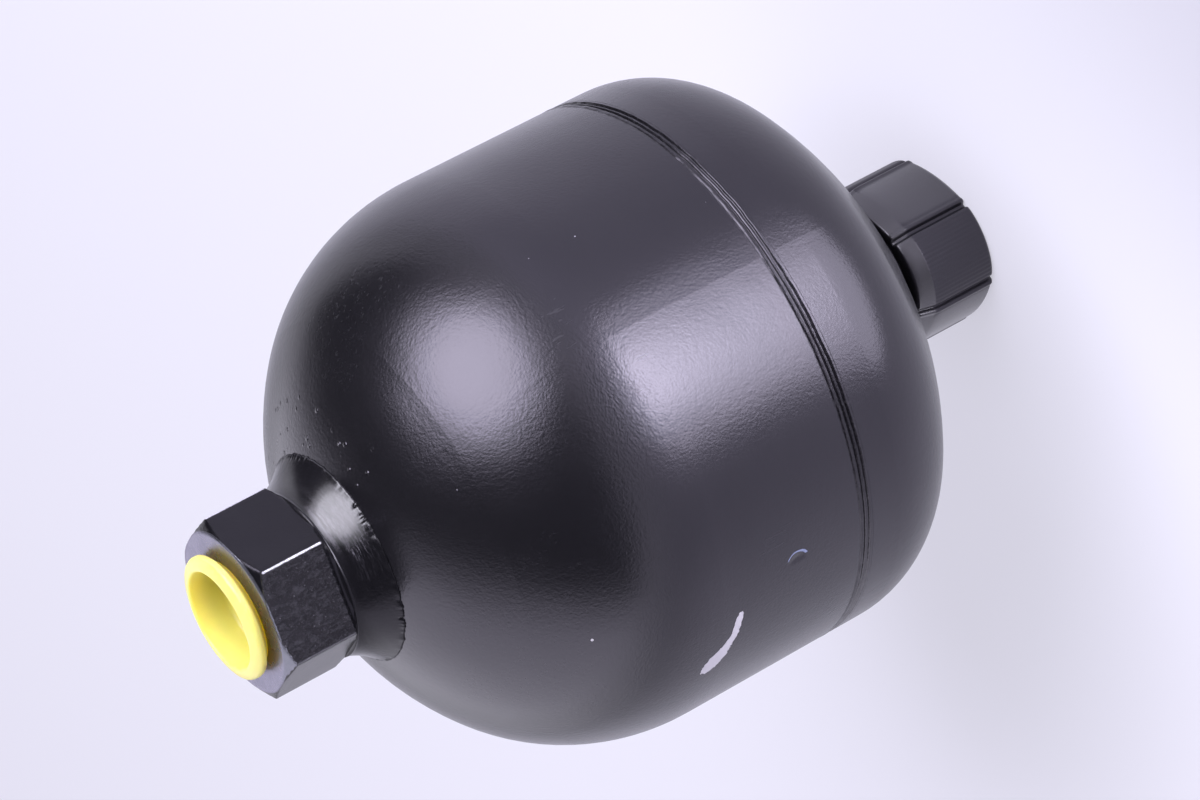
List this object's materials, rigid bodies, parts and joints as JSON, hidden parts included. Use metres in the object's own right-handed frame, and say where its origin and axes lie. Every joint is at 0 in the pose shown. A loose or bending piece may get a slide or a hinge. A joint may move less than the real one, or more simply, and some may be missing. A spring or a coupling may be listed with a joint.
{
  "type": "diaphragm accumulator",
  "caption": "Welded steel pressure vessel with a flared hexagon fluid port under a push-in plug, a girth weld, an inner rubber diaphragm and a screw cap over its gas neck.",
  "frame": {"origin": "centre of the flat end of the gas cap, on which the part stands", "axes": "+Z along the vessel's axis from the gas cap to the fluid port; +X through one corner of the port's hexagon"},
  "size_m": [0.144, 0.144, 0.217],
  "materials": {
    "black_paint": "satin black coat",
    "painted_weld": "rough bead under the same coat",
    "port_steel": "satin black coat over bare steel",
    "neck_paint": "satin black coat",
    "zinc_steel": "zinc plated",
    "seal_rubber": "matt",
    "cap_plastic": "fine moulded ribs, satin",
    "yellow_plastic": "semi-translucent, smooth",
    "diaphragm_rubber": "matt",
    "button_steel": "turned",
    "ring_steel": "pressed"
  },
  "bodies": {
    "accumulator": {"fluid_shell": "black_paint", "gas_shell": "black_paint", "girth_weld": "painted_weld", "port_adapter": "port_steel", "gas_neck": "neck_paint", "charging_screw": "zinc_steel", "charging_seal": "seal_rubber", "clamp_ring": "ring_steel", "diaphragm": "diaphragm_rubber"},
    "cap": {"protective_cap": "cap_plastic"},
    "plug": {"port_plug": "yellow_plastic"},
    "button": {"diaphragm_button": "button_steel"}
  },
  "joints": [
    {"name": "cap_turn", "type": "hinge", "parent": "accumulator", "child": "cap", "pos_m": [0, 0, 0], "axis": [0, 0, 1], "continuous": true},
    {"name": "plug_pull", "type": "slide", "parent": "accumulator", "child": "plug", "axis": [0, 0, 1], "range_m": [0, 0.05]},
    {"name": "diaphragm_stroke", "type": "slide", "parent": "accumulator", "child": "button", "axis": [0, 0, -1], "range_m": [0, 0.082], "stiffness_N_per_m": 500, "springref_m": -0.02, "deforming": ["diaphragm"]}
  ]
}
